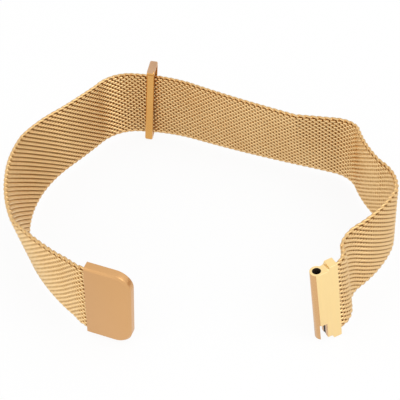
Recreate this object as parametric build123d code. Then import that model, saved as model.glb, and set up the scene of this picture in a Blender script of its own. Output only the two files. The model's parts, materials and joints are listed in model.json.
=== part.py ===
from build123d import *
from dataclasses import dataclass
import math
import os

# One woven steel watch strap that stands on its long edge in an open loop, seen from above with +Z up.
# It runs clockwise from a magnetic clasp at its free end to the fitting that takes a watch's spring bar.
# A rectangular ring rides loosely on the mesh. All lengths are millimetres and all angles are degrees.

# Mesh strap
mesh_width = 20.0
mesh_thickness = 1.25
mesh_length = 216.0
joint_clearance = 0.1
edge_height = 1.0

# Rows of the weave, which run across the strap as low ridges with a groove between each two
row_pitch = 0.84
row_groove_depth = 0.2

# The way the strap lies. Each section of mesh bends evenly along its length, and the strap flexes where
# two sections meet. A turn is negative where the strap bends clockwise. A lean tips the mesh's upper edge
# away from the loop's middle, and a rake tips it along the strap, towards the lug end.
start_heading = 127
section_length_shares = [8, 16, 16, 15, 14, 13, 12, 18, 16, 16, 9, 9, 14, 12, 14, 7, 7]
section_turns = [-1, -12, -21, -24, -23, 4, -63, -21, 3, 2, -2, -55, 21, -56, -22, 52, -62]
station_leans = [-2, 2, 9, 5, 4, -3, -5, -2, -4, -9, -14, -9, -1, -4, 2, 0, -6, -1]
end_rakes = {0: -8, 1: -5, 2: -2, 17: 3}
lift_shares = {0: 0.06, 1: 0.02}

# Bends right at the edges of the two end pieces
clasp_bend = -30
lug_bend = -6

# Magnetic clasp
clasp_length = 10.7
clasp_edge = 1.0
clasp_thickness = 2.2
clasp_corner_radius = 4.0
clasp_bevel = 0.5
clasp_skin = 0.45
clasp_wall = 0.8
clasp_rim = 0.45
back_plate_thickness = 0.35
clasp_fit = 0.05
yoke_thickness = 0.3
magnet_gap = 0.8
magnet_count = 4
carrier_wall = 0.5
carrier_tip_wall = 2.4

# Pockets that take the mesh ends, and the weld bars that close the cut mesh
pocket_depth = 1.8
pocket_end_wall = 0.6
weld_bar_length = 0.5
pocket_side_clearance = 0.5
pocket_face_clearance = 0.075

# Lug fitting
lug_length = 5.8
lug_collar_length = 2.0
lug_collar_edge = 1.0
lug_neck_radius = 1.0
lug_throat_share = 0.8
lug_thickness = 2.4
lug_tube_radius = 1.5
spring_bar_bore_radius = 0.95
lever_slot_width = 1.7
lever_slot_height = 4.4
lug_edge_break = 0.2

# Ring
ring_section_index = 7
ring_place_share = 0.18
ring_side_shift = 0.35
ring_yaw = 5
ring_lean = -1
ring_rake = 8
ring_bar_width = 2.1
ring_bar_thickness = 0.9
ring_end_thickness = 0.75
ring_side_play = 1.7
ring_upper_play = 1.45
ring_lower_play = 0.5
ring_corner_radius = 1.1
ring_inner_radius = 0.35
ring_edge_break = 0.25


@dataclass
class Station:
    """A line across the strap: the mesh's lower edge there, the strap's heading and the line's slope."""

    foot: Vector
    heading: float
    rise: Vector

    @property
    def along(self):
        return heading_vector(self.heading)

    def point(self, height):
        return self.foot + self.rise * height

    def frame(self, forward=1):
        """Axes at mid height: X along the strap, or back along it, and Z up the line across the strap."""
        upright = self.rise.normalized()
        run = self.along * forward
        run = (run - upright * run.dot(upright)).normalized()
        return Plane(origin=self.point(mesh_width / 2), x_dir=run, z_dir=upright)


def heading_vector(heading):
    angle = math.radians(heading)
    return Vector(math.cos(angle), math.sin(angle), 0)


def tipped(heading, lean, rake):
    """The way that a line across the strap goes for each unit of height."""
    lean_run = heading_vector(heading + 90) * math.tan(math.radians(lean))
    rake_run = heading_vector(heading) * math.tan(math.radians(rake))
    return lean_run + rake_run + Vector(0, 0, 1)


def section_lengths():
    unit = mesh_length / sum(section_length_shares)
    return [unit * share for share in section_length_shares]


def travel(foot, heading, length, turn):
    """The point reached after an arc of this length that turns by this angle."""
    half_turn = math.radians(turn) / 2
    chord = length * math.sin(half_turn) / half_turn
    return foot + heading_vector(heading + turn / 2) * chord


def lay_strap():
    """Every station from the clasp to the lug fitting, and the middle station of every section."""
    stations = []
    middles = []
    foot = Vector(0, 0, 0)
    heading = start_heading
    for index, lean in enumerate(station_leans):
        lift = Vector(0, 0, edge_height + mesh_width * lift_shares.get(index, 0))
        stations.append(Station(foot + lift, heading, tipped(heading, lean, end_rakes.get(index, 0))))
        if index < len(section_turns):
            length = section_lengths()[index]
            turn = section_turns[index]
            middles.append((travel(foot, heading, length / 2, turn / 2), heading + turn / 2))
            foot = travel(foot, heading, length, turn)
            heading += turn
    return stations, [middle_station(*middle, *ends) for middle, ends in zip(middles, pairs(stations))]


def pairs(items):
    return list(zip(items, items[1:]))


def middle_station(foot, heading, first, last):
    lifted = Vector(foot.X, foot.Y, (first.foot.Z + last.foot.Z) / 2)
    return Station(lifted, heading, (first.rise + last.rise) / 2)


def end_station(station, bend):
    """The station of an end piece, which meets the mesh with a bend at its edge."""
    return Station(station.foot, station.heading + bend, station.rise)


def faces_at(station, height, heading, reach=0):
    """The points on the mesh's outer and inner face, pushed along the strap by reach."""
    centre = station.point(height) + heading_vector(heading) * reach
    half = heading_vector(heading + 90) * (mesh_thickness / 2)
    return centre + half, centre - half


def on_slope(point, start, end):
    """The point, moved up or down onto the plane that runs from start to end and is level across that line."""
    run = Vector(end.X - start.X, end.Y - start.Y, 0)
    share = (point - start).dot(run) / run.dot(run)
    return Vector(point.X, point.Y, start.Z + share * (end.Z - start.Z))


def ridged(face, far_face, rows):
    """A zigzag along one face of the mesh: a ridge for each row, with grooves cut towards the far face."""
    points = [face @ 0]
    for step in range(1, 2 * rows):
        share = step / (2 * rows)
        on_face = face @ share
        inwards = (far_face @ share - on_face).normalized()
        is_groove = step % 2 == 0
        points.append(on_face + inwards * row_groove_depth if is_groove else on_face)
    points.append(face @ 1)
    return [Line(start, end) for start, end in pairs(points)]


def section_outline(first, middle, last, height, rows, clasp=None, lug=None):
    """One section's outline at one height. It starts hollow and ends round, so that neighbours hinge."""
    start = first.point(height)
    end = last.point(height)

    def place(points):
        return [on_slope(point, start, end) for point in points]

    radius = mesh_thickness / 2
    hollow = radius + joint_clearance
    engagement = pocket_depth - weld_bar_length
    middle_outer, middle_inner = place(faces_at(middle, height, middle.heading))
    edges = []
    if clasp:
        bisector = (first.heading + clasp.heading) / 2
        first_outer, first_inner = place(faces_at(first, height, bisector))
        stub_outer, stub_inner = place(faces_at(clasp, height, clasp.heading, -engagement))
        edges += [Line(first_inner, stub_inner), Line(stub_inner, stub_outer), Line(stub_outer, first_outer)]
    else:
        corner_reach = math.sqrt(hollow**2 - radius**2)
        first_outer, first_inner = place(faces_at(first, height, first.heading, corner_reach))
        hollow_middle = on_slope(start + first.along * hollow, start, end)
        edges += [ThreePointArc(first_inner, hollow_middle, first_outer)]
    if lug:
        bisector = (last.heading + lug.heading) / 2
        last_outer, last_inner = place(faces_at(last, height, bisector))
        stub_outer, stub_inner = place(faces_at(lug, height, lug.heading, engagement))
        closing = [Line(last_outer, stub_outer), Line(stub_outer, stub_inner), Line(stub_inner, last_inner)]
    else:
        last_outer, last_inner = place(faces_at(last, height, last.heading))
        round_middle = on_slope(end + last.along * radius, start, end)
        closing = [ThreePointArc(last_outer, round_middle, last_inner)]
    outer_face = ThreePointArc(first_outer, middle_outer, last_outer)
    inner_face = ThreePointArc(first_inner, middle_inner, last_inner)
    edges += ridged(outer_face, inner_face, rows)
    edges += closing
    edges += reversed(ridged(inner_face, outer_face, rows))
    return Face(Wire(edges))


def mesh_section(first, middle, last, rows, clasp=None, lug=None):
    lower = section_outline(first, middle, last, 0, rows, clasp, lug)
    upper = section_outline(first, middle, last, mesh_width, rows, clasp, lug)
    return loft([lower, upper], ruled=True)


def clasp_height():
    return mesh_width + 2 * clasp_edge


def clasp_layer(start, inset, low, high):
    """A slab with the clasp's outline drawn in by inset, from one depth to another, outward positive."""
    length = clasp_length - inset - start
    outline = Pos(start + length / 2, 0) * Rectangle(length, clasp_height() - 2 * inset)
    tip_corners = outline.vertices().sort_by(Axis.X)[-2:]
    outline = fillet(tip_corners, clasp_corner_radius - inset)
    return extrude(Plane.XZ.offset(low) * outline, amount=high - low)


def block(x_range, y_range, z_range):
    size = [high - low for low, high in (x_range, y_range, z_range)]
    centre = [(high + low) / 2 for low, high in (x_range, y_range, z_range)]
    return Pos(*centre) * Box(*size)


def mesh_pocket(mouth):
    """The space for the mesh end, from the mouth inwards, in an end piece's own frame."""
    half_depth = mesh_thickness / 2 + pocket_face_clearance
    half_height = mesh_width / 2 + pocket_side_clearance
    return block((mouth, pocket_depth), (-half_depth, half_depth), (-half_height, half_height))


def weld_bar():
    half_height = mesh_width / 2
    half_depth = mesh_thickness / 2
    reach = pocket_depth - weld_bar_length
    return block((reach, pocket_depth), (-half_depth, half_depth), (-half_height, half_height))


def clasp_pieces():
    """The clasp in its own frame: X runs from the mesh to the tip and the outer face looks along -Y."""
    outer = clasp_thickness / 2
    ceiling = outer - clasp_skin
    floor = back_plate_thickness - outer
    bay_start = pocket_depth + pocket_end_wall
    shell = clasp_layer(0, 0, -outer, outer)
    front_edges = shell.faces().sort_by(Axis.Y)[0].edges()
    shell = chamfer(front_edges.sort_by(Axis.X)[1:], clasp_bevel)
    shell -= clasp_layer(clasp_rim, clasp_rim, -outer, floor)
    shell -= clasp_layer(bay_start, clasp_wall, floor, ceiling)
    shell -= mesh_pocket(0)
    back_plate = clasp_layer(clasp_rim + clasp_fit, clasp_rim + clasp_fit, -outer, floor)
    bay = (bay_start + clasp_fit, clasp_wall + clasp_fit)
    yoke = clasp_layer(*bay, ceiling - yoke_thickness, ceiling)
    carrier = clasp_layer(*bay, floor, ceiling - yoke_thickness)
    stack_height = clasp_height() - 2 * (clasp_wall + clasp_fit + carrier_wall)
    magnet_height = (stack_height - magnet_gap * (magnet_count - 1)) / magnet_count
    magnet_start = bay_start + clasp_fit + carrier_wall
    magnet_end = clasp_length - clasp_wall - clasp_fit - carrier_tip_wall
    depth = (yoke_thickness - ceiling, -floor)
    pieces = {
        "Clasp outer shell": shell,
        "Clasp back plate": back_plate,
        "Clasp steel yoke plate": yoke,
        "Clasp weld bar": weld_bar(),
    }
    for index in range(magnet_count):
        low = -stack_height / 2 + index * (magnet_height + magnet_gap)
        span = (low, low + magnet_height)
        opening = (low - clasp_fit, low + magnet_height + clasp_fit)
        carrier -= block((magnet_start - clasp_fit, magnet_end + clasp_fit), depth, opening)
        pieces[f"Clasp magnet {index + 1}"] = block((magnet_start, magnet_end), depth, span)
    pieces["Clasp magnet carrier"] = carrier
    return pieces


def lug_fitting():
    """The lug fitting in its own frame: X runs from the mesh to the tube and the outer face looks along +Y."""
    collar_half = mesh_width / 2 + lug_collar_edge
    plate_half = lug_thickness / 2
    tube_x = lug_length - lug_tube_radius
    tube_y = plate_half - lug_tube_radius
    collar = block((0, lug_collar_length), (-plate_half, plate_half), (-collar_half, collar_half))
    neck_half = mesh_width / 2
    neck = block((lug_collar_length, tube_x), (-plate_half, plate_half), (-neck_half, neck_half))
    tube = Pos(tube_x, tube_y) * Cylinder(lug_tube_radius, mesh_width)
    body = collar + neck + tube
    throats = [e for e in body.edges().filter_by(Axis.Y) if is_throat(e.center())]
    body = fillet(throats, throat_radius(tube_x))
    outer_corners = [e for e in body.edges().filter_by(Axis.Y) if abs(e.center().Z) > neck_half + lug_edge_break]
    body = fillet(outer_corners, lug_edge_break)
    body -= Pos(tube_x, tube_y) * Cylinder(spring_bar_bore_radius, mesh_width + 2 * lug_collar_edge)
    slot_sides = (tube_x - lever_slot_width / 2, tube_x + lever_slot_width / 2)
    slot_heights = (-collar_half, lever_slot_height - neck_half)
    body -= block(slot_sides, (-lug_thickness, lug_thickness), slot_heights)
    body -= mesh_pocket(0)
    return body


def throat_radius(tube_x):
    """The rounding at the throats, which stops short of where the tube comes out of the neck's inner face."""
    face_drop = lug_thickness - lug_tube_radius
    tube_reach = math.sqrt(max(lug_tube_radius**2 - face_drop**2, 0))
    neck_run = tube_x - tube_reach - lug_collar_length
    wanted = lug_neck_radius * lug_collar_edge / (lug_collar_edge + lug_edge_break)
    return min(wanted, neck_run * lug_throat_share)


def is_throat(centre):
    """True at the inner corners where the neck runs up into the wider collar."""
    margin = lug_edge_break / 2
    at_collar = abs(centre.X - lug_collar_length) < margin
    return at_collar and abs(abs(centre.Z) - mesh_width / 2) < margin


def ring():
    """The ring in its own frame, with the strap running along X through it."""
    gap = mesh_thickness + 2 * ring_side_play
    inner_height = mesh_width + ring_upper_play + ring_lower_play
    lift = (ring_upper_play - ring_lower_play) / 2
    outer = Rectangle(gap + 2 * ring_bar_thickness, inner_height + 2 * ring_end_thickness)
    outer = fillet(outer.vertices(), ring_corner_radius)
    inner = fillet(Rectangle(gap, inner_height).vertices(), ring_inner_radius)
    profile = Pos(0, lift) * (outer - inner)
    body = extrude(Plane.YZ * profile, amount=ring_bar_width / 2, both=True)
    rims = body.faces().sort_by(Axis.X)
    outer_rims = [face.outer_wire().edges() for face in (rims[0], rims[-1])]
    return chamfer([edge for rim in outer_rims for edge in rim], ring_edge_break)


def ring_station(first):
    """The ring's place on its section, turned and pushed to the strap's outer side, as the loose ring lies."""
    length = section_lengths()[ring_section_index] * ring_place_share
    turn = section_turns[ring_section_index] * ring_place_share
    foot = travel(first.foot, first.heading, length, turn)
    heading = first.heading + turn + ring_yaw
    foot += heading_vector(heading + 90) * ring_side_shift
    return Station(foot, heading, tipped(heading, ring_lean, ring_rake))


def placed(frame, shape):
    return frame.location * shape


def shift_to_origin(boxes):
    """The move that stands the whole strap on Z = 0, with the middle of its outline at the origin."""
    low = [min(tuple(box.min)[axis] for box in boxes) for axis in range(3)]
    high = [max(tuple(box.max)[axis] for box in boxes) for axis in range(3)]
    return Vector(-(low[0] + high[0]) / 2, -(low[1] + high[1]) / 2, -low[2])


def build_model():
    """All pieces by name, with the stations, moved so that the strap stands centred on the origin."""
    stations, middles = lay_strap()
    clasp = end_station(stations[0], -clasp_bend)
    lug = end_station(stations[-1], lug_bend)
    last = len(middles) - 1
    pieces = {}
    for index, ((first, end), middle) in enumerate(zip(pairs(stations), middles)):
        at_clasp = clasp if index == 0 else None
        at_lug = lug if index == last else None
        name = f"Mesh section {index + 1:02d}"
        rows = round(section_lengths()[index] / row_pitch)
        pieces[name] = mesh_section(first, middle, end, rows, at_clasp, at_lug)
    for name, shape in clasp_pieces().items():
        pieces[name] = placed(clasp.frame(forward=-1), shape)
    pieces["Lug fitting"] = placed(lug.frame(), lug_fitting())
    pieces["Lug weld bar"] = placed(lug.frame(), weld_bar())
    ring_at = ring_station(stations[ring_section_index])
    pieces["Ring"] = placed(ring_at.frame(), ring())
    shift = shift_to_origin([shape.bounding_box() for shape in pieces.values()])
    return {name: Pos(shift) * shape for name, shape in pieces.items()}, stations, ring_at, clasp, lug, shift


def main():
    os.makedirs("parts", exist_ok=True)
    pieces = build_model()[0]
    for name, shape in pieces.items():
        export_step(shape, os.path.join("parts", name.replace(" ", "_") + ".step"))


main()
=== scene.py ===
import json
import math

import bmesh
import bpy
from mathutils import Matrix, Vector

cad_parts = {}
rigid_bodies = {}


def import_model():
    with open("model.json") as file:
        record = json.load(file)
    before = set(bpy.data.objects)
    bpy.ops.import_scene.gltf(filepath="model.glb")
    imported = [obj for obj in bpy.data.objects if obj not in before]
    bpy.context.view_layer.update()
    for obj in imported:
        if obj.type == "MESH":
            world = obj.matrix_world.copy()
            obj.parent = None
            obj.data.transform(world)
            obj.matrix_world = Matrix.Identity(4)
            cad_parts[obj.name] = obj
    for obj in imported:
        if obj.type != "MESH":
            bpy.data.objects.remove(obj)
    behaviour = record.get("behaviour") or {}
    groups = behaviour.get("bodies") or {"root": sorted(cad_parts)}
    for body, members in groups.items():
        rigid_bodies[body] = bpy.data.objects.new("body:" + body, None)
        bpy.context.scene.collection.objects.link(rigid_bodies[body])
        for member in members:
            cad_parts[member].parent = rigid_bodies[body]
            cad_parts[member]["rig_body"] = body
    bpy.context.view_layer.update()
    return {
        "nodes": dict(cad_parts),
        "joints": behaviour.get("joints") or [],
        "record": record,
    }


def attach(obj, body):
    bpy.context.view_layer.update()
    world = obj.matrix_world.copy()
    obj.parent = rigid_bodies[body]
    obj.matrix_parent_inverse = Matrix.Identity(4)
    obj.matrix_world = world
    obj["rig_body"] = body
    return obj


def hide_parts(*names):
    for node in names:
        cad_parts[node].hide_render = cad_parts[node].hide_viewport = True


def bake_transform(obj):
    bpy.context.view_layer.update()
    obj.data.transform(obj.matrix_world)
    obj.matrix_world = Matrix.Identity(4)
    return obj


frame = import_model()
mm = 0.001
print("frame loaded")


# Small helpers for node trees

def addNode(tree, kind, values=None, **settings):
    # values go to its sockets, by name or place, and settings to the node itself
    node = tree.nodes.new(kind)
    for name, value in settings.items():
        setattr(node, name, value)
    for socket, value in (values or {}).items():
        wire(tree, value, node.inputs[socket])
    return node


def wire(tree, value, socket):
    if isinstance(value, bpy.types.NodeSocket):
        tree.links.new(value, socket)
    else:
        socket.default_value = value


def calc(tree, operation, first, second=0.0):
    return addNode(tree, "ShaderNodeMath", {0: first, 1: second}, operation=operation).outputs[0]


def vectorMath(tree, operation, first, second=(0, 0, 0)):
    node = addNode(tree, "ShaderNodeVectorMath", {0: first}, operation=operation)
    if operation == "SCALE":
        wire(tree, second, node.inputs["Scale"])
    else:
        wire(tree, second, node.inputs[1])
    return node.outputs[0]


def dotProduct(tree, first, second):
    values = {0: first, 1: second}
    return addNode(tree, "ShaderNodeVectorMath", values, operation="DOT_PRODUCT").outputs["Value"]


# Effects that several finishes share

effects = {
    "driftDetail": 4.0,
    "driftSpan": (0.35, 0.7),   # noise values between which the colour turns
    "grainDetail": 3.0,
    "speckDetail": 1.0,
    "speckShare": 0.35,         # height of the specks between the scratches
    "wearAndHighlightDetail": 3.0,
    "wearAndHighlightSamples": 4,
    "wearAndHighlightGain": 14.0,           # how soon a turned edge counts as worn and takes the painted edge highlight
}


def newGroup(name, inputs, outputs):
    group = bpy.data.node_groups.new(name, "ShaderNodeTree")
    for label, kind, value in inputs:
        socket = group.interface.new_socket(label, in_out="INPUT", socket_type=kind)
        socket.default_value = value
    for label, kind in outputs:
        group.interface.new_socket(label, in_out="OUTPUT", socket_type=kind)
    return group, addNode(group, "NodeGroupInput"), addNode(group, "NodeGroupOutput")


def addNoise(tree, place, scale, detail):
    values = {"Vector": place, "Scale": scale, "Detail": detail}
    return addNode(tree, "ShaderNodeTexNoise", values).outputs["Fac"]


def makeToneDrift():
    # broad, soft changes of the plating's colour
    group, given, result = newGroup(
        "toneDrift",
        [
            ("Colour", "NodeSocketColor", (0.8, 0.5, 0.3, 1)),
            ("Deep Colour", "NodeSocketColor", (0.5, 0.3, 0.1, 1)),
            ("Scale", "NodeSocketFloat", 60.0),
            ("Amount", "NodeSocketFloat", 0.3),
        ],
        [("Colour", "NodeSocketColor"), ("Mask", "NodeSocketFloat")],
    )
    place = addNode(group, "ShaderNodeTexCoord").outputs["Object"]
    clouds = addNoise(group, place, given.outputs["Scale"], effects["driftDetail"])
    low, high = effects["driftSpan"]
    span = addNode(group, "ShaderNodeMapRange", {"Value": clouds, "From Min": low, "From Max": high})
    amount = calc(group, "MULTIPLY", span.outputs[0], given.outputs["Amount"])
    blend = addNode(group, "ShaderNodeMix", {0: amount}, data_type="RGBA")
    wire(group, given.outputs["Colour"], blend.inputs[6])
    wire(group, given.outputs["Deep Colour"], blend.inputs[7])
    wire(group, blend.outputs[2], result.inputs["Colour"])
    wire(group, span.outputs[0], result.inputs["Mask"])
    return group


def makeBrushGrain():
    # fine parallel scratches, longest along the strap's width
    group, given, result = newGroup(
        "brushGrain",
        [
            ("Stretch", "NodeSocketVector", (1, 1, 0.05)),
            ("Scale", "NodeSocketFloat", 9000.0),
        ],
        [("Height", "NodeSocketFloat"), ("Mask", "NodeSocketFloat")],
    )
    place = addNode(group, "ShaderNodeTexCoord").outputs["Object"]
    drawn = vectorMath(group, "MULTIPLY", place, given.outputs["Stretch"])
    lines = addNoise(group, drawn, given.outputs["Scale"], effects["grainDetail"])
    specks = addNoise(group, place, given.outputs["Scale"], effects["speckDetail"])
    height = calc(group, "ADD", lines, calc(group, "MULTIPLY", specks, effects["speckShare"]))
    wire(group, height, result.inputs["Height"])
    wire(group, lines, result.inputs["Mask"])
    return group


def makeEdgeWearAndHighlight():
    # a mask that is 1 on sharp edges, broken up as rubbed plating is; it marks both wear and a painted edge
    # highlight
    group, given, result = newGroup(
        "edgeWearAndHighlight",
        [("Radius", "NodeSocketFloat", 0.2 * mm), ("Break Up", "NodeSocketFloat", 900.0)],
        [("Mask", "NodeSocketFloat")],
    )
    samples = effects["wearAndHighlightSamples"]
    bevel = addNode(group, "ShaderNodeBevel", {"Radius": given.outputs["Radius"]}, samples=samples)
    flat = addNode(group, "ShaderNodeNewGeometry").outputs["Normal"]
    turned = calc(group, "SUBTRACT", 1.0, dotProduct(group, bevel.outputs[0], flat))
    place = addNode(group, "ShaderNodeTexCoord").outputs["Object"]
    spots = addNoise(group, place, given.outputs["Break Up"], effects["wearAndHighlightDetail"])
    broken = calc(group, "MULTIPLY", turned, calc(group, "MULTIPLY", spots, effects["wearAndHighlightGain"]))
    mask = addNode(group, "ShaderNodeClamp", {"Value": broken}).outputs[0]
    wire(group, mask, result.inputs["Mask"])
    return group


toneDrift = makeToneDrift()
brushGrain = makeBrushGrain()
edgeWearAndHighlight = makeEdgeWearAndHighlight()
print("shared effects made")


def useGroup(tree, group, **values):
    node = addNode(tree, "ShaderNodeGroup", node_tree=group)
    for name, value in values.items():
        wire(tree, value, node.inputs[name])
    return node


def startFinish(name, look):
    # what every finish has: a drifting colour, and a grain in its roughness and its bump
    material = bpy.data.materials.new(name)
    material.use_nodes = True
    tree = material.node_tree
    shader = tree.nodes["Principled BSDF"]
    drift = useGroup(tree, toneDrift, Scale=look["driftScale"], Amount=look["driftAmount"])
    drift.inputs["Colour"].default_value = (*look["colour"], 1)
    drift.inputs["Deep Colour"].default_value = (*look["deepColour"], 1)
    grain = useGroup(tree, brushGrain, Scale=look["grainScale"], Stretch=look["grainStretch"])
    roughness = addNode(tree, "ShaderNodeMapRange", {"Value": grain.outputs["Mask"]})
    roughness.inputs["To Min"].default_value = look["roughness"][0]
    roughness.inputs["To Max"].default_value = look["roughness"][1]
    wire(tree, roughness.outputs[0], shader.inputs["Roughness"])
    bump = addNode(tree, "ShaderNodeBump", {"Height": grain.outputs["Height"]})
    bump.inputs["Strength"].default_value = look["bumpStrength"]
    bump.inputs["Distance"].default_value = look["bumpDistance"]
    wire(tree, bump.outputs[0], shader.inputs["Normal"])
    return material, tree, shader, drift.outputs["Colour"]


def addWearAndHighlight(tree, look, colour):
    # sharp edges take the lighter worn colour, which is both rubbed plating and a painted edge highlight
    wearAndHighlight = useGroup(tree, edgeWearAndHighlight, Radius=look["wearAndHighlight"])
    wornAndLit = addNode(tree, "ShaderNodeMix", {0: wearAndHighlight.outputs["Mask"]}, data_type="RGBA")
    wire(tree, colour, wornAndLit.inputs[6])
    wornAndLit.inputs[7].default_value = (*look["wornAndHighlightColour"], 1)
    return wornAndLit.outputs[2]


def addCreviceShade(tree, look, colour):
    # the woven wires carry how far out of the mesh's middle each spot of them lies; the deep spots get a
    # darker colour, painted shade in the crevices between the wires
    depth = addNode(tree, "ShaderNodeAttribute", attribute_name="depthShare").outputs["Fac"]
    bright = addNode(tree, "ShaderNodeMapRange", {"Value": depth}, interpolation_type="SMOOTHSTEP")
    bright.inputs["From Min"].default_value = look["creviceShadeSpan"][0]
    bright.inputs["From Max"].default_value = look["creviceShadeSpan"][1]
    creviceShaded = addNode(tree, "ShaderNodeMix", {0: bright.outputs[0]}, data_type="RGBA")
    creviceShaded.inputs[6].default_value = (*look["creviceShadeColour"], 1)
    wire(tree, colour, creviceShaded.inputs[7])
    return creviceShaded.outputs[2]


def makeMetal(name, look):
    material, tree, shader, colour = startFinish(name, look)
    shader.inputs["Metallic"].default_value = 1.0
    shader.inputs["Anisotropic"].default_value = look.get("anisotropy", 0.0)
    # wear and painted highlight: sharp edges turn a lighter colour
    if look.get("wearAndHighlight"):
        colour = addWearAndHighlight(tree, look, colour)
    # painted shade: the wires darken deep in the weave's crevices
    if look.get("creviceShadeColour"):
        colour = addCreviceShade(tree, look, colour)
    wire(tree, colour, shader.inputs["Base Color"])
    return material


def makeMatte(name, look):
    # for what isn't bare or plated metal to the eye: the moulded carrier, and the bore's inside, whose
    # near-black colour is painted shade
    material, tree, shader, colour = startFinish(name, look)
    wire(tree, colour, shader.inputs["Base Color"])
    return material


# Route of the mesh. The hinges give the line across the strap at each place where it flexes; its two ends are
# written here. Each length between is an arc, so the headings follow from the chords.

strapRoute = {
    "meshWidth": 20 * mm,
    "claspFoot": Vector((-27.67, -34.09, 2.49)) * mm,
    "claspRise": Vector((0.1125, -0.0912, 1)),
    "startHeading": 127.0,
    "claspBend": 30.0,          # bend at the clasp's edge, degrees
    "lugFoot": Vector((28.24, -41.26, 1.29)) * mm,
    "lugRise": Vector((-0.0546, -0.0082, 1)),
    "lugBend": -6.0,
    "pocketReach": 1.05 * mm,   # how far the mesh runs on inside an end piece
    "swingReach": 6.5 * mm,     # how far from the clasp the mesh is back on its route
    "cornerSoftening": 0.9 * mm,
    "pointsPerLength": 24,
    "pointsInPocket": 8,
    "straightTurn": 0.01,       # a length that turns by less than this, in degrees, is laid straight
}


def planHeading(vector):
    return math.degrees(math.atan2(vector.y, vector.x))


def turnBetween(first, second):
    return (second - first + 180) % 360 - 180


def readStations():
    half = strapRoute["meshWidth"] / 2
    feet = [strapRoute["claspFoot"]]
    rises = [strapRoute["claspRise"]]
    for joint in frame["joints"]:
        if joint["type"] == "hinge":
            rise = Vector(joint["axis"])
            feet.append(Vector(joint["pos_m"]) - rise / rise.z * half)
            rises.append(rise)
    feet.append(strapRoute["lugFoot"])
    rises.append(strapRoute["lugRise"])
    return feet, [rise / rise.z for rise in rises]


def arcPoint(start, heading, chord, turn, share):
    # the point that far along an arc of this chord and turn
    if abs(turn) < strapRoute["straightTurn"]:
        return start + chord * share
    radius = chord.length / (2 * math.sin(math.radians(turn) / 2))
    angle = math.radians(turn * share)
    reach = 2 * radius * math.sin(angle / 2)
    way = math.radians(heading + turn * share / 2)
    return start + Vector((math.cos(way), math.sin(way), 0)) * reach


def pocketWay(heading, rise, forward):
    way = Vector((math.cos(math.radians(heading)), math.sin(math.radians(heading)), 0)) * forward
    upright = rise.normalized()
    return (way - upright * way.dot(upright)).normalized()


def layRoute():
    # middle line of the mesh, the line across it at each point, and how far along each hinge is
    half = strapRoute["meshWidth"] / 2
    count = strapRoute["pointsPerLength"]
    feet, rises = readStations()
    heading = strapRoute["startHeading"]
    middles = []
    acrosses = []
    hingePoints = []
    for index in range(len(feet) - 1):
        level = Vector((feet[index + 1].x - feet[index].x, feet[index + 1].y - feet[index].y, 0))
        turn = 2 * turnBetween(heading, planHeading(level))
        for step in range(count):
            share = step / count
            foot = arcPoint(Vector((feet[index].x, feet[index].y, 0)), heading, level, turn, share)
            foot.z = feet[index].z + (feet[index + 1].z - feet[index].z) * share
            rise = rises[index].lerp(rises[index + 1], share)
            middles.append(foot + rise * half)
            acrosses.append(rise)
        heading += turn
        hingePoints.append(len(middles))
    middles.append(feet[-1] + rises[-1] * half)
    acrosses.append(rises[-1])
    steps = strapRoute["pointsInPocket"]
    reach = strapRoute["pocketReach"]
    toClasp = pocketWay(strapRoute["startHeading"] + strapRoute["claspBend"], rises[0], -1)
    toLug = pocketWay(heading + strapRoute["lugBend"], rises[-1], 1)
    lead = [middles[0] + toClasp * reach * (1 - step / steps) for step in range(steps)]
    tail = [middles[-1] + toLug * reach * (step + 1) / steps for step in range(steps)]
    corners = (len(lead), len(lead) + len(middles) - 1)
    middles = lead + middles + tail
    acrosses = [rises[0]] * steps + acrosses + [rises[-1]] * steps
    swing(middles, corners[0])
    soften(middles, corners[1])
    hingePoints = [steps + point for point in hingePoints[:-1]]
    return middles, acrosses, hingePoints


def soften(points, corner):
    # rounds the bend at the lug fitting's edge
    reach = strapRoute["cornerSoftening"]
    first = corner
    while (points[first] - points[corner]).length < reach and first > 0:
        first -= 1
    last = corner
    while (points[last] - points[corner]).length < reach and last < len(points) - 1:
        last += 1
    start, middle, end = points[first].copy(), points[corner].copy(), points[last].copy()
    for index in range(first, last + 1):
        share = (index - first) / (last - first)
        points[index] = start.lerp(middle, share).lerp(middle.lerp(end, share), share)


def swing(points, corner):
    # the mesh leaves the clasp in line with its pocket and swings back to the route
    last = corner
    while (points[last] - points[corner]).length < strapRoute["swingReach"]:
        last += 1
    start, end = points[corner].copy(), points[last].copy()
    chord = (end - start).length
    startWay = (start - points[corner - 1]).normalized() * chord
    endWay = (points[last + 1] - end).normalized() * chord
    for index in range(corner + 1, last):
        share = (index - corner) / (last - corner)
        ease = share * share * (3 - 2 * share)
        point = start.lerp(end, ease)
        point += startWay * share * (1 - share) ** 2
        points[index] = point - endWay * share * share * (1 - share)


def makeGuide(middles, acrosses):
    # the route as a line of edges that carries the direction across the strap
    mesh = bpy.data.meshes.new("routeGuide")
    mesh.from_pydata([tuple(point) for point in middles], [(i, i + 1) for i in range(len(middles) - 1)], [])
    attribute = mesh.attributes.new("across", "FLOAT_VECTOR", "POINT")
    attribute.data.foreach_set("vector", [value for across in acrosses for value in across])
    guide = bpy.data.objects.new("routeGuide", mesh)
    bpy.context.scene.collection.objects.link(guide)
    return guide


middles, acrosses, hingePoints = layRoute()
travelled = [0.0]
for before, after in zip(middles, middles[1:]):
    travelled.append(travelled[-1] + (after - before).length)
print("route laid,", round(travelled[-1] / mm, 2), "mm")


# Woven mesh: flattened spirals side by side along the strap, each hooked through the next and joined to it
# by a bend at the edge

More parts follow.
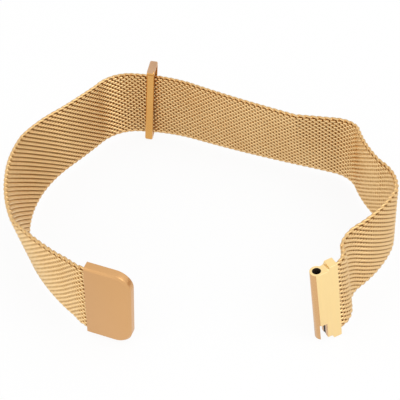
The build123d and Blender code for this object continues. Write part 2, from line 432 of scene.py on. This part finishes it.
weave = {
    "wholeTurns": 14,
    "turnPitch": 1.295 * mm,
    "rows": 260,
    "loopHalfLength": 0.69 * mm,
    "loopHalfDepth": 0.315 * mm,
    "endAngle": math.radians(48),
    "hand": -1,                 # -1 winds the spirals to the left, 1 to the right
    "endStep": 0.72,            # how much of its way across a spiral makes at the ends of its loops
    "rowSlant": 0.075,          # how far a row runs along the strap for each unit across it
    "wireRadius": 0.31 * mm,
    "pointsPerTurn": 12,
    "wireSides": 6,
    "edgeReach": 0.2 * mm,
    "edgeLean": -0.1 * mm,
    "edgeShare": 0.7,           # depth share given to the bends at the edges, which sets how much painted crevice shade they get
    "pointsPerBend": 8,
    "flexReach": 2.6 * mm,      # a reach to each side of a hinge
}

wovenLook = {
    "colour": (0.93, 0.66, 0.33),
    "deepColour": (0.82, 0.53, 0.24),
    "driftScale": 90.0,
    "driftAmount": 0.5,
    "grainScale": 6000.0,
    "grainStretch": (1, 1, 0.3),
    "roughness": (0.26, 0.4),
    "bumpStrength": 0.12,
    "bumpDistance": 0.01 * mm,
    # painted shade: the colour the wires take deep in the weave, where light is blocked
    "creviceShadeColour": (0.44, 0.22, 0.055),
    "creviceShadeSpan": (0.4, 0.9),  # depth shares between which the painted crevice shade fades into the full colour
}


def makeWeaveTree():
    tree = bpy.data.node_groups.new("wovenMesh", "GeometryNodeTree")
    sockets = [
        ("Guide", "NodeSocketObject"),
        ("Whole Turns", "NodeSocketInt"),
        ("Turn Pitch", "NodeSocketFloat"),
        ("Row Pitch", "NodeSocketFloat"),
        ("First Row", "NodeSocketInt"),
        ("Rows", "NodeSocketInt"),
        ("Loop Half Length", "NodeSocketFloat"),
        ("Loop Half Depth", "NodeSocketFloat"),
        ("End Angle", "NodeSocketFloat"),
        ("End Step", "NodeSocketFloat"),
        ("Hand", "NodeSocketFloat"),
        ("Row Slant", "NodeSocketFloat"),
        ("Wire Radius", "NodeSocketFloat"),
        ("Points per Turn", "NodeSocketInt"),
        ("Wire Sides", "NodeSocketInt"),
        ("Edge Reach", "NodeSocketFloat"),
        ("Edge Lean", "NodeSocketFloat"),
        ("Edge Share", "NodeSocketFloat"),
        ("Points per Bend", "NodeSocketInt"),
        ("Finish", "NodeSocketMaterial"),
    ]
    for name, kind in sockets:
        tree.interface.new_socket(name, in_out="INPUT", socket_type=kind)
    tree.interface.new_socket("Geometry", in_out="OUTPUT", socket_type="NodeSocketGeometry")
    given = addNode(tree, "NodeGroupInput").outputs
    result = addNode(tree, "NodeGroupOutput")
    endShare = calc(tree, "DIVIDE", given["End Angle"], math.pi)
    turns = calc(tree, "ADD", calc(tree, "ADD", given["Whole Turns"], 0.5), endShare)
    halfWidth = calc(tree, "MULTIPLY", calc(tree, "MULTIPLY", turns, given["Turn Pitch"]), 0.5)
    flat = weaveFlat(tree, given, turns, halfWidth)
    laid = layAlongGuide(tree, given, flat)
    solid = thickenWire(tree, given, laid)
    shaded = markDepth(tree, given, solid, halfWidth)
    smooth = addNode(tree, "GeometryNodeSetShadeSmooth", {0: shaded}).outputs[0]
    whole = addNode(tree, "GeometryNodeRealizeInstances", {0: smooth}).outputs[0]
    finished = addNode(tree, "GeometryNodeSetMaterial", {"Geometry": whole, "Material": given["Finish"]})
    tree.links.new(finished.outputs[0], result.inputs[0])
    return tree


def spiralLine(tree, given, turns, lowEnd):
    # one spiral; it starts and ends at the back of the mesh, where the edge bends take over
    index = addNode(tree, "GeometryNodeInputIndex").outputs[0]
    stepCount = calc(tree, "MULTIPLY", calc(tree, "ADD", given["Whole Turns"], 1.0), given["Points per Turn"])
    line = addNode(tree, "GeometryNodeMeshLine", {"Count": calc(tree, "ADD", stepCount, 1.0)})
    turnShare = calc(tree, "MULTIPLY", calc(tree, "DIVIDE", index, stepCount), turns)
    angle = calc(tree, "SUBTRACT", calc(tree, "MULTIPLY", turnShare, math.tau), given["End Angle"])
    sway = calc(tree, "MULTIPLY", calc(tree, "SINE", calc(tree, "MULTIPLY", angle, 2.0)), given["End Step"])
    advance = calc(tree, "ADD", turnShare, calc(tree, "DIVIDE", sway, math.tau))
    place = addNode(tree, "ShaderNodeCombineXYZ", {
        0: calc(tree, "ADD", lowEnd, calc(tree, "MULTIPLY", advance, given["Turn Pitch"])),
        1: calc(tree, "MULTIPLY", calc(tree, "COSINE", angle), given["Loop Half Length"]),
        2: loopDepth(tree, given, angle),
    }).outputs[0]
    straight = addNode(tree, "GeometryNodeMeshToCurve", {0: line.outputs[0]}).outputs[0]
    return addNode(tree, "GeometryNodeSetPosition", {"Geometry": straight, "Position": place}).outputs[0]


def weaveFlat(tree, given, turns, halfWidth):
    # rows along a straight strap, every second one turned over, with the bends at the two edges
    lowEnd = calc(tree, "MULTIPLY", halfWidth, -1.0)
    index = addNode(tree, "GeometryNodeInputIndex").outputs[0]
    row = calc(tree, "ADD", index, given["First Row"])
    rowPlace = addNode(tree, "ShaderNodeCombineXYZ", {
        1: calc(tree, "MULTIPLY", calc(tree, "ADD", row, 0.5), given["Row Pitch"]),
    }).outputs[0]
    rows = addNode(tree, "GeometryNodePoints", {"Count": given["Rows"], "Position": rowPlace}).outputs[0]
    isOdd = calc(tree, "MODULO", row, 2.0)
    isEven = calc(tree, "SUBTRACT", 1.0, isOdd)
    turnOver = addNode(tree, "ShaderNodeCombineXYZ", {0: calc(tree, "MULTIPLY", isOdd, math.pi)}).outputs[0]
    spirals = addNode(tree, "GeometryNodeInstanceOnPoints", {
        "Points": rows,
        "Instance": spiralLine(tree, given, turns, lowEnd),
        "Rotation": turnOver,
    }).outputs[0]
    upperBends = addNode(tree, "GeometryNodeInstanceOnPoints", {
        "Points": rows,
        "Selection": isEven,
        "Instance": edgeBend(tree, given, halfWidth, -1, 1),
    }).outputs[0]
    lowerBends = addNode(tree, "GeometryNodeInstanceOnPoints", {
        "Points": rows,
        "Selection": isOdd,
        "Instance": edgeBend(tree, given, lowEnd, 1, -1),
    }).outputs[0]
    wires = addNode(tree, "GeometryNodeJoinGeometry")
    for part in (spirals, upperBends, lowerBends):
        tree.links.new(part, wires.inputs[0])
    return addNode(tree, "GeometryNodeRealizeInstances", {0: wires.outputs[0]}).outputs[0]


def layAlongGuide(tree, given, flat):
    # bends the flat weave along the guide, and notes where the mesh's middle is and which way is out of it
    guideLine = addNode(tree, "GeometryNodeObjectInfo", {"Object": given["Guide"]}).outputs["Geometry"]
    guide = addNode(tree, "GeometryNodeMeshToCurve", {0: guideLine}).outputs[0]
    here = addNode(tree, "GeometryNodeInputPosition").outputs[0]
    place = addNode(tree, "ShaderNodeSeparateXYZ", {0: here}).outputs
    distance = calc(tree, "ADD", place[1], calc(tree, "MULTIPLY", place[0], given["Row Slant"]))
    sample = addNode(tree, "GeometryNodeSampleCurve", data_type="FLOAT_VECTOR", mode="LENGTH")
    sample.use_all_curves = True
    wire(tree, guide, sample.inputs["Curves"])
    wire(tree, readVector(tree, "across"), sample.inputs["Value"])
    wire(tree, distance, sample.inputs["Length"])
    rise = sample.outputs["Value"]
    square = vectorMath(tree, "CROSS_PRODUCT", rise, sample.outputs["Tangent"])
    outward = vectorMath(tree, "NORMALIZE", square)
    middle = vectorMath(tree, "ADD", sample.outputs["Position"], vectorMath(tree, "SCALE", rise, place[0]))
    spot = vectorMath(tree, "ADD", middle, vectorMath(tree, "SCALE", outward, place[2]))
    marked = storeValue(tree, flat, "middle", "FLOAT_VECTOR", middle)
    marked = storeValue(tree, marked, "outward", "FLOAT_VECTOR", outward)
    marked = storeValue(tree, marked, "acrossPlace", "FLOAT", place[0])
    return addNode(tree, "GeometryNodeSetPosition", {"Geometry": marked, "Position": spot}).outputs[0]


def thickenWire(tree, given, laid):
    profile = addNode(tree, "GeometryNodeCurvePrimitiveCircle", {
        "Resolution": given["Wire Sides"],
        "Radius": given["Wire Radius"],
    }).outputs[0]
    values = {"Curve": laid, "Profile Curve": profile, "Fill Caps": True}
    return addNode(tree, "GeometryNodeCurveToMesh", values).outputs[0]


def loopDepth(tree, given, angle):
    # how far out of the middle of the mesh a spiral lies at that angle of its turn
    handed = calc(tree, "MULTIPLY", given["Loop Half Depth"], given["Hand"])
    return calc(tree, "MULTIPLY", calc(tree, "SINE", angle), handed)


def storeValue(tree, geometry, name, kind, value):
    values = {"Geometry": geometry, "Name": name}
    store = addNode(tree, "GeometryNodeStoreNamedAttribute", values, data_type=kind)
    wire(tree, value, store.inputs["Value"])
    return store.outputs[0]


def readVector(tree, name):
    kind = "FLOAT_VECTOR"
    return addNode(tree, "GeometryNodeInputNamedAttribute", {"Name": name}, data_type=kind).outputs[0]


def markDepth(tree, given, solid, halfWidth):
    # how far each spot of the wires lies from the middle of the mesh: 0 in the middle, 1 at its faces; it
    # sets where the painted crevice shade falls
    here = addNode(tree, "GeometryNodeInputPosition").outputs[0]
    offset = vectorMath(tree, "SUBTRACT", here, readVector(tree, "middle"))
    out = dotProduct(tree, offset, readVector(tree, "outward"))
    halfThickness = calc(tree, "ADD", given["Loop Half Depth"], given["Wire Radius"])
    share = calc(tree, "DIVIDE", calc(tree, "ABSOLUTE", out), halfThickness)
    acrossPlace = addNode(tree, "GeometryNodeInputNamedAttribute", {"Name": "acrossPlace"}).outputs[0]
    beyond = calc(tree, "SUBTRACT", calc(tree, "ABSOLUTE", acrossPlace), halfWidth)
    atEdge = calc(tree, "DIVIDE", calc(tree, "ADD", beyond, given["Wire Radius"]), given["Wire Radius"])
    atEdge = calc(tree, "MINIMUM", atEdge, given["Edge Share"])
    marked = storeValue(tree, solid, "depthShare", "FLOAT", calc(tree, "MAXIMUM", share, atEdge))
    for name in ("middle", "outward", "acrossPlace"):
        marked = addNode(tree, "GeometryNodeRemoveAttribute", {"Geometry": marked, "Name": name}).outputs[0]
    return marked


def edgeBend(tree, given, edge, fromSide, outwards):
    # from one spiral's end on one face of the mesh to the next spiral's end on the other
    ahead = calc(tree, "MULTIPLY", calc(tree, "COSINE", given["End Angle"]), given["Loop Half Length"])
    depth = calc(tree, "MULTIPLY", loopDepth(tree, given, given["End Angle"]), float(fromSide))
    farDepth = calc(tree, "MULTIPLY", depth, -1.0)
    first = calc(tree, "MULTIPLY", ahead, -1.0)
    last = calc(tree, "ADD", given["Row Pitch"], ahead)
    bulge = calc(tree, "ADD", edge, calc(tree, "MULTIPLY", given["Edge Reach"], float(outwards)))
    firstLean = calc(tree, "ADD", first, given["Edge Lean"])
    lastLean = calc(tree, "SUBTRACT", last, given["Edge Lean"])
    segment = addNode(tree, "GeometryNodeCurvePrimitiveBezierSegment", {
        "Start": addNode(tree, "ShaderNodeCombineXYZ", {0: edge, 1: first, 2: depth}).outputs[0],
        "Start Handle": addNode(tree, "ShaderNodeCombineXYZ", {0: bulge, 1: firstLean, 2: depth}).outputs[0],
        "End Handle": addNode(tree, "ShaderNodeCombineXYZ", {0: bulge, 1: lastLean, 2: farDepth}).outputs[0],
        "End": addNode(tree, "ShaderNodeCombineXYZ", {0: edge, 1: last, 2: farDepth}).outputs[0],
    }).outputs[0]
    values = {"Curve": segment, "Count": given["Points per Bend"]}
    return addNode(tree, "GeometryNodeResampleCurve", values).outputs[0]


def setInput(modifier, tree, name, value):
    for item in tree.interface.items_tree:
        if item.item_type == "SOCKET" and item.in_out == "INPUT" and item.name == name:
            modifier[item.identifier] = value


def weaveLength(tree, guide, finish, name, firstRow, lastRow, rowPitch):
    # one length of the weave as a plain mesh
    host = bpy.data.objects.new(name + "Host", bpy.data.meshes.new(name + "Host"))
    bpy.context.scene.collection.objects.link(host)
    modifier = host.modifiers.new("weave", "NODES")
    modifier.node_group = tree
    inputs = {
        "Guide": guide,
        "Whole Turns": weave["wholeTurns"],
        "Turn Pitch": weave["turnPitch"],
        "Row Pitch": rowPitch,
        "First Row": firstRow,
        "Rows": lastRow - firstRow,
        "Loop Half Length": weave["loopHalfLength"],
        "Loop Half Depth": weave["loopHalfDepth"],
        "End Angle": weave["endAngle"],
        "End Step": weave["endStep"],
        "Hand": float(weave["hand"]),
        "Row Slant": weave["rowSlant"],
        "Wire Radius": weave["wireRadius"],
        "Points per Turn": weave["pointsPerTurn"],
        "Wire Sides": weave["wireSides"],
        "Edge Reach": weave["edgeReach"],
        "Edge Lean": weave["edgeLean"],
        "Edge Share": weave["edgeShare"],
        "Points per Bend": weave["pointsPerBend"],
        "Finish": finish,
    }
    for label, value in inputs.items():
        setInput(modifier, tree, label, value)
    depsgraph = bpy.context.evaluated_depsgraph_get()
    mesh = bpy.data.meshes.new_from_object(host.evaluated_get(depsgraph))
    host.modifiers.remove(modifier)
    bpy.data.objects.remove(host)
    length = bpy.data.objects.new(name, mesh)
    bpy.context.scene.collection.objects.link(length)
    return length


def makeWeave():
    tree = makeWeaveTree()
    guide = makeGuide(middles, acrosses)
    finish = makeMetal("wovenWire", wovenLook)
    rowPitch = travelled[-1] / weave["rows"]
    hinges = [joint for joint in frame["joints"] if joint["type"] == "hinge"]
    places = [travelled[point] for point in hingePoints]
    cuts = [0] + [round((a + b) / 2 / rowPitch) for a, b in zip(places, places[1:])] + [weave["rows"]]
    for index, joint in enumerate(hinges):
        name = f"woven_length_{index + 1:02d}"
        length = weaveLength(tree, guide, finish, name, cuts[index], cuts[index + 1], rowPitch)
        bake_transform(length)
        nodes = [f"Mesh_section_{index + 1:02d}"]
        if index == len(hinges) - 1:
            nodes.append(f"Mesh_section_{index + 2:02d}")
        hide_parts(*nodes)
    bpy.data.objects.remove(guide)
    print("mesh woven,", weave["rows"], "rows")


makeWeave()


# Solid metal pieces: the CAD shapes with softened edges

softening = {
    "joinWithin": 0.002 * mm,
    "flatWithin": math.radians(0.6),
    "edgeFrom": math.radians(28),   # edges that turn by at least this are rounded
    "segments": 3,
}


def softened(nodeName, name, material, edge):
    source = frame["nodes"][nodeName]
    shape = bmesh.new()
    shape.from_mesh(source.data)
    bmesh.ops.remove_doubles(shape, verts=shape.verts, dist=softening["joinWithin"])
    bmesh.ops.dissolve_limit(shape, angle_limit=softening["flatWithin"], verts=shape.verts, edges=shape.edges)
    mesh = bpy.data.meshes.new(name)
    shape.to_mesh(mesh)
    shape.free()
    piece = bpy.data.objects.new(name, mesh)
    bpy.context.scene.collection.objects.link(piece)
    mesh.materials.append(material)
    bevel = piece.modifiers.new("softEdges", "BEVEL")
    bevel.width = edge
    bevel.segments = softening["segments"]
    bevel.limit_method = "ANGLE"
    bevel.angle_limit = softening["edgeFrom"]
    bevel.harden_normals = True
    for polygon in mesh.polygons:
        polygon.use_smooth = True
    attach(piece, source["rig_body"])
    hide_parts(nodeName)
    return piece


# painted shade: the clasp's plating is given a darker colour than the lug fitting's
claspShadedLook = {
    "colour": (0.72, 0.41, 0.18),
    "deepColour": (0.64, 0.35, 0.14),
    "driftScale": 45.0,
    "driftAmount": 0.35,
    "grainScale": 14000.0,
    "grainStretch": (1, 1, 0.06),
    "roughness": (0.3, 0.42),
    "bumpStrength": 0.1,
    "bumpDistance": 0.006 * mm,
    "anisotropy": 0.3,
    "wearAndHighlight": 0.12 * mm,
    "wornAndHighlightColour": (0.86, 0.6, 0.36),
    "softEdge": 0.07 * mm,
}

# painted light: the lug fitting's plating is given a lighter colour than the clasp's
lugLitLook = {
    "colour": (1.0, 0.75, 0.36),
    "deepColour": (0.94, 0.64, 0.28),
    "driftScale": 60.0,
    "driftAmount": 0.3,
    "grainScale": 14000.0,
    "grainStretch": (0.1, 1, 1),
    "roughness": (0.28, 0.4),
    "bumpStrength": 0.08,
    "bumpDistance": 0.006 * mm,
    "anisotropy": 0.2,
    "wearAndHighlight": 0.1 * mm,
    "wornAndHighlightColour": (0.95, 0.78, 0.5),
    "softEdge": 0.05 * mm,
}

# painted shade: the tube's free side is given a darker colour than the rest of the fitting
flankShadeLook = {
    "colour": (0.72, 0.43, 0.2),
    "deepColour": (0.64, 0.36, 0.15),
    "driftScale": 60.0,
    "driftAmount": 0.4,
    "grainScale": 14000.0,
    "grainStretch": (1, 1, 0.1),
    "roughness": (0.2, 0.32),
    "bumpStrength": 0.05,
    "bumpDistance": 0.005 * mm,
    "reach": 1.55 * mm,     # faces up to this far from the bore's axis
    "facing": 0.45,         # and turned at least this much away from the mesh
}

# painted shade: the inside of the bore is coloured near black
boreInsideShadeLook = {
    "colour": (0.03, 0.018, 0.01),
    "deepColour": (0.015, 0.009, 0.005),
    "driftScale": 300.0,
    "driftAmount": 0.5,
    "grainScale": 9000.0,
    "grainStretch": (1, 1, 1),
    "roughness": (0.5, 0.7),
    "bumpStrength": 0.2,
    "bumpDistance": 0.01 * mm,
    "reachShare": 1.03,     # faces up to this share of the bore's radius from its axis
    "wallSlope": 0.3,
}

ringLook = {
    "colour": (0.74, 0.40, 0.12),
    "deepColour": (0.62, 0.30, 0.08),
    "driftScale": 70.0,
    "driftAmount": 0.4,
    "grainScale": 14000.0,
    "grainStretch": (1, 1, 0.1),
    "roughness": (0.16, 0.28),
    "bumpStrength": 0.05,
    "bumpDistance": 0.005 * mm,
    "wearAndHighlight": 0.1 * mm,
    "wornAndHighlightColour": (0.88, 0.62, 0.36),
    "softEdge": 0.08 * mm,
}

# painted shade: the ring's faces turned up or down are given a darker brown
ringEndShadeLook = {
    "colour": (0.62, 0.38, 0.22),
    "deepColour": (0.46, 0.26, 0.14),
    "driftScale": 260.0,
    "driftAmount": 0.6,
    "grainScale": 14000.0,
    "grainStretch": (1, 1, 1),
    "roughness": (0.2, 0.3),
    "bumpStrength": 0.05,
    "bumpDistance": 0.005 * mm,
    "facing": 0.6,          # faces turned at least this much up or down
}

steelLook = {
    "colour": (0.5, 0.5, 0.5),
    "deepColour": (0.36, 0.35, 0.34),
    "driftScale": 200.0,
    "driftAmount": 0.6,
    "grainScale": 9000.0,
    "grainStretch": (1, 1, 0.2),
    "roughness": (0.3, 0.5),
    "bumpStrength": 0.1,
    "bumpDistance": 0.008 * mm,
}

magnetLook = {
    "colour": (0.62, 0.61, 0.58),
    "deepColour": (0.5, 0.49, 0.47),
    "driftScale": 250.0,
    "driftAmount": 0.4,
    "grainScale": 12000.0,
    "grainStretch": (1, 1, 1),
    "roughness": (0.18, 0.3),
    "bumpStrength": 0.05,
    "bumpDistance": 0.004 * mm,
}

carrierLook = {
    "colour": (0.03, 0.03, 0.032),
    "deepColour": (0.015, 0.015, 0.016),
    "driftScale": 150.0,
    "driftAmount": 0.6,
    "grainScale": 9000.0,
    "grainStretch": (1, 1, 1),
    "roughness": (0.45, 0.65),
    "bumpStrength": 0.15,
    "bumpDistance": 0.01 * mm,
}


def finishNode(nodeName, material):
    data = frame["nodes"][nodeName].data
    data.materials.clear()
    data.materials.append(material)


def makeClasp():
    gold = makeMetal("claspPlatingShaded", claspShadedLook)
    softened("Clasp_outer_shell", "clasp_face_plate", gold, claspShadedLook["softEdge"])
    finishNode("Clasp_back_plate", gold)
    steel = makeMetal("bareSteel", steelLook)
    for nodeName in ("Clasp_steel_yoke_plate", "Clasp_weld_bar", "Lug_weld_bar"):
        finishNode(nodeName, steel)
    nickel = makeMetal("magnetNickel", magnetLook)
    for index in range(4):
        finishNode(f"Clasp_magnet_{index + 1}", nickel)
    finishNode("Clasp_magnet_carrier", makeMatte("carrierPlastic", carrierLook))
    print("clasp finished")


def makeLugFitting():
    gold = makeMetal("lugPlatingLit", lugLitLook)
    fitting = softened("Lug_fitting", "lug_end_fitting", gold, lugLitLook["softEdge"])
    finishTube(fitting)
    print("lug fitting finished")


def finishTube(fitting):
    # the free side of the tube gets a darker colour as painted shade, and the inside of its bore a near-black
    # colour as painted shade
    fitting.data.materials.append(makeMetal("tubeFlankShade", flankShadeLook))
    fitting.data.materials.append(makeMatte("boreInsideShade", boreInsideShadeLook))
    mount = [mount for mount in frame["record"]["mounts"] if mount["kind"] == "bore"][0]
    centre = Vector(mount["pos_m"])
    axis = Vector(mount["axis"])
    boreReach = mount["dims"]["r_mm"] * mm * boreInsideShadeLook["reachShare"]
    fromMesh = centre - (strapRoute["lugFoot"] + strapRoute["lugRise"] * strapRoute["meshWidth"] / 2)
    freeWay = (fromMesh - axis * fromMesh.dot(axis)).normalized()
    for polygon in fitting.data.polygons:
        offset = polygon.center - centre
        beside = offset - axis * offset.dot(axis)
        isWall = abs(polygon.normal.dot(axis)) < boreInsideShadeLook["wallSlope"]
        isFree = polygon.normal.dot(freeWay) > flankShadeLook["facing"]
        # slot 2 is the painted shade inside the bore, slot 1 the painted shade on the free flank
        if isWall and beside.length < boreReach:
            polygon.material_index = 2
        elif isWall and beside.length < flankShadeLook["reach"] and isFree:
            polygon.material_index = 1


def makeRing():
    gold = makeMetal("ringPlating", ringLook)
    ring = softened("Ring", "keeper_ring", gold, ringLook["softEdge"])
    ring.data.materials.append(makeMetal("ringEndShade", ringEndShadeLook))
    # faces turned up or down take the darker painted shade
    for polygon in ring.data.polygons:
        if abs(polygon.normal.z) > ringEndShadeLook["facing"]:
            polygon.material_index = 1
    print("ring finished")


makeClasp()
makeLugFitting()
makeRing()


# Floor, light and camera

studio = {
    "floorSize": 4.0,
    "floorColour": (0.82, 0.82, 0.82, 1),
    "floorRoughness": 0.9,
    "floorShine": 0.1,
    "floorGlow": 0.92,      # share of plain white that the camera sees in the floor
    "worldStrength": 1.0,
    "keyPlace": (0.4, -0.3, 0.55),
    "keySize": 0.5,
    "keyPower": 1.6,
    "fillPlace": (-0.5, -0.2, 0.2),
    "fillSize": 0.4,
    "fillPower": 0.35,
}


def seenDirectly(tree):
    # 1 for rays from the camera, and for those that metal or glass send on
    path = addNode(tree, "ShaderNodeLightPath").outputs
    both = calc(tree, "MAXIMUM", path["Is Camera Ray"], path["Is Glossy Ray"])
    return calc(tree, "MAXIMUM", both, path["Is Transmission Ray"])


def makeFloor():
    size = studio["floorSize"] / 2
    mesh = bpy.data.meshes.new("studioFloor")
    corners = [(-size, -size, 0), (size, -size, 0), (size, size, 0), (-size, size, 0)]
    mesh.from_pydata(corners, [], [(0, 1, 2, 3)])
    floor = bpy.data.objects.new("studioFloor", mesh)
    bpy.context.scene.collection.objects.link(floor)
    material = bpy.data.materials.new("paleFloor")
    material.use_nodes = True
    tree = material.node_tree
    shader = tree.nodes["Principled BSDF"]
    shader.inputs["Base Color"].default_value = studio["floorColour"]
    shader.inputs["Roughness"].default_value = studio["floorRoughness"]
    shader.inputs["Specular IOR Level"].default_value = studio["floorShine"]
    glow = addNode(tree, "ShaderNodeEmission", {"Color": (1, 1, 1, 1), "Strength": 1.0}).outputs[0]
    share = calc(tree, "MULTIPLY", seenDirectly(tree), studio["floorGlow"])
    mixed = addNode(tree, "ShaderNodeMixShader", {0: share, 1: shader.outputs[0], 2: glow}).outputs[0]
    wire(tree, mixed, tree.nodes["Material Output"].inputs["Surface"])
    mesh.materials.append(material)


def makeWorld():
    world = bpy.data.worlds.new("softStudio")
    world.use_nodes = True
    bpy.context.scene.world = world
    tree = world.node_tree
    tree.nodes.clear()
    seen = seenDirectly(tree)
    lit = addNode(tree, "ShaderNodeBackground", {"Color": (1, 1, 1, 1), "Strength": studio["worldStrength"]})
    white = addNode(tree, "ShaderNodeBackground", {"Color": (1, 1, 1, 1), "Strength": 1.0})
    mixed = addNode(tree, "ShaderNodeMixShader", {0: seen, 1: lit.outputs[0], 2: white.outputs[0]}).outputs[0]
    addNode(tree, "ShaderNodeOutputWorld", {"Surface": mixed})


def makeLamp(name, place, size, power):
    data = bpy.data.lights.new(name, "AREA")
    data.shape = "DISK"
    data.size = size
    data.energy = power
    lamp = bpy.data.objects.new(name, data)
    lamp.location = place
    lamp.rotation_mode = "QUATERNION"
    lamp.rotation_quaternion = (-Vector(place)).to_track_quat("-Z", "Y")
    bpy.context.scene.collection.objects.link(lamp)


view = {
    "target": Vector((0.43, -3.01, 10.29)) * mm,
    "distance": 240 * mm,
    "elevation": 40.0,
    "roll": -6.0,
    "focalPixels": 972.0,
    "imagePixels": 400.0,
    "sensor": 36.0,
    "clipStart": 0.01,
    "clipEnd": 20.0,
}


def makeCamera():
    data = bpy.data.cameras.new("photoView")
    data.sensor_width = view["sensor"]
    data.lens = view["focalPixels"] / view["imagePixels"] * view["sensor"]
    data.clip_start = view["clipStart"]
    data.clip_end = view["clipEnd"]
    camera = bpy.data.objects.new("photoView", data)
    bpy.context.scene.collection.objects.link(camera)
    tilt = math.radians(view["elevation"])
    roll = math.radians(view["roll"])
    back = Vector((0, -math.cos(tilt), math.sin(tilt)))
    levelUp = Vector((0, math.sin(tilt), math.cos(tilt)))
    levelRight = Vector((1, 0, 0))
    right = levelRight * math.cos(roll) + levelUp * math.sin(roll)
    up = levelUp * math.cos(roll) - levelRight * math.sin(roll)
    turned = Matrix((right, up, back)).transposed()
    camera.matrix_world = Matrix.Translation(view["target"] + back * view["distance"]) @ turned.to_4x4()
    bpy.context.scene.camera = camera


makeFloor()
makeWorld()
makeLamp("keyLamp", studio["keyPlace"], studio["keySize"], studio["keyPower"])
makeLamp("fillLamp", studio["fillPlace"], studio["fillSize"], studio["fillPower"])
makeCamera()
bpy.context.scene.view_settings.view_transform = "Standard"
print("studio set")
